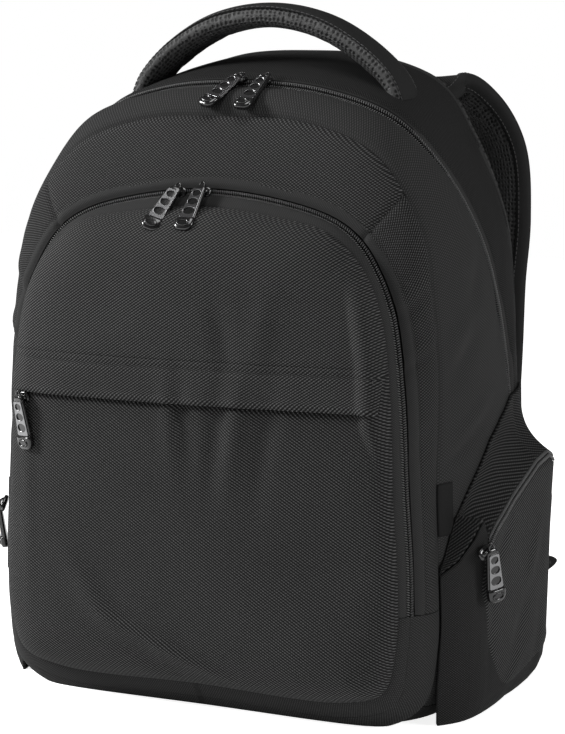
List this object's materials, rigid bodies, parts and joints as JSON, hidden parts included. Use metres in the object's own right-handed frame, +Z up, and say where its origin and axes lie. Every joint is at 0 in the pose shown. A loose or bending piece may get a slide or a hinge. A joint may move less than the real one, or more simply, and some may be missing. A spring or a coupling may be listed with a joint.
{
  "type": "laptop backpack",
  "caption": "Arched laptop backpack with a front organiser pocket, side zip pockets, padded haul handle and shoulder straps.",
  "frame": {"origin": "on the ground under the middle of the bag, in the flat face of its base", "axes": "+Z up, -Y towards the front pocket, +X towards the side with the sewn label"},
  "size_m": [0.4028, 0.2819, 0.4904],
  "materials": {
    "twill": "coarse ballistic twill, matt",
    "smooth_cloth": "fine plain weave, soft sheen",
    "spacer_mesh": "padded spacer mesh with open pores",
    "webbing": "ribbed woven webbing",
    "zip_coil": "nylon coil",
    "rubber": "moulded, glossy",
    "gunmetal": "polished dark metal",
    "label": "smooth woven label, bare",
    "hard_plastic": "moulded acetal"
  },
  "bodies": {
    "root": {"pocket_face_upper": "twill", "pocket_face_lower": "twill", "storm_flap": "twill", "pocket_band": "smooth_cloth", "pocket_zip": "zip_coil", "front_panel_top": "twill", "front_panel_left": "twill", "front_panel_right": "twill", "lower_front_panel": "smooth_cloth", "front_gusset": "smooth_cloth", "main_zip": "zip_coil", "rear_gusset": "twill", "base_panel": "twill", "back_panel": "spacer_mesh", "handle_pad": "spacer_mesh", "handle_top_strip": "smooth_cloth", "side_label": "label", "pocket_zip_left_slider": "gunmetal", "pocket_zip_left_pull": "rubber", "pocket_zip_left_pull_plate": "gunmetal", "pocket_zip_right_slider": "gunmetal", "pocket_zip_right_pull": "rubber", "pocket_zip_right_pull_plate": "gunmetal", "main_zip_left_slider": "gunmetal", "main_zip_left_pull": "rubber", "main_zip_left_pull_plate": "gunmetal", "main_zip_right_slider": "gunmetal", "main_zip_right_pull": "rubber", "main_zip_right_pull_plate": "gunmetal", "flap_zip_slider": "gunmetal", "flap_zip_pull": "rubber", "flap_zip_pull_plate": "gunmetal", "side_pocket_gusset_left": "twill", "side_pocket_face_left": "twill", "side_wing_left": "twill", "side_zip_left": "zip_coil", "side_zip_left_slider": "gunmetal", "side_zip_left_pull": "rubber", "side_zip_left_pull_plate": "gunmetal", "strap_pad_left": "spacer_mesh", "strap_buckle_left": "hard_plastic", "strap_webbing_left": "webbing", "anchor_tab_left": "webbing", "side_pocket_gusset_right": "twill", "side_pocket_face_right": "twill", "side_wing_right": "twill", "side_zip_right": "zip_coil", "side_zip_right_slider": "gunmetal", "side_zip_right_pull": "rubber", "side_zip_right_pull_plate": "gunmetal", "strap_pad_right": "spacer_mesh", "strap_buckle_right": "hard_plastic", "strap_webbing_right": "webbing", "anchor_tab_right": "webbing"}
  },
  "joints": []
}
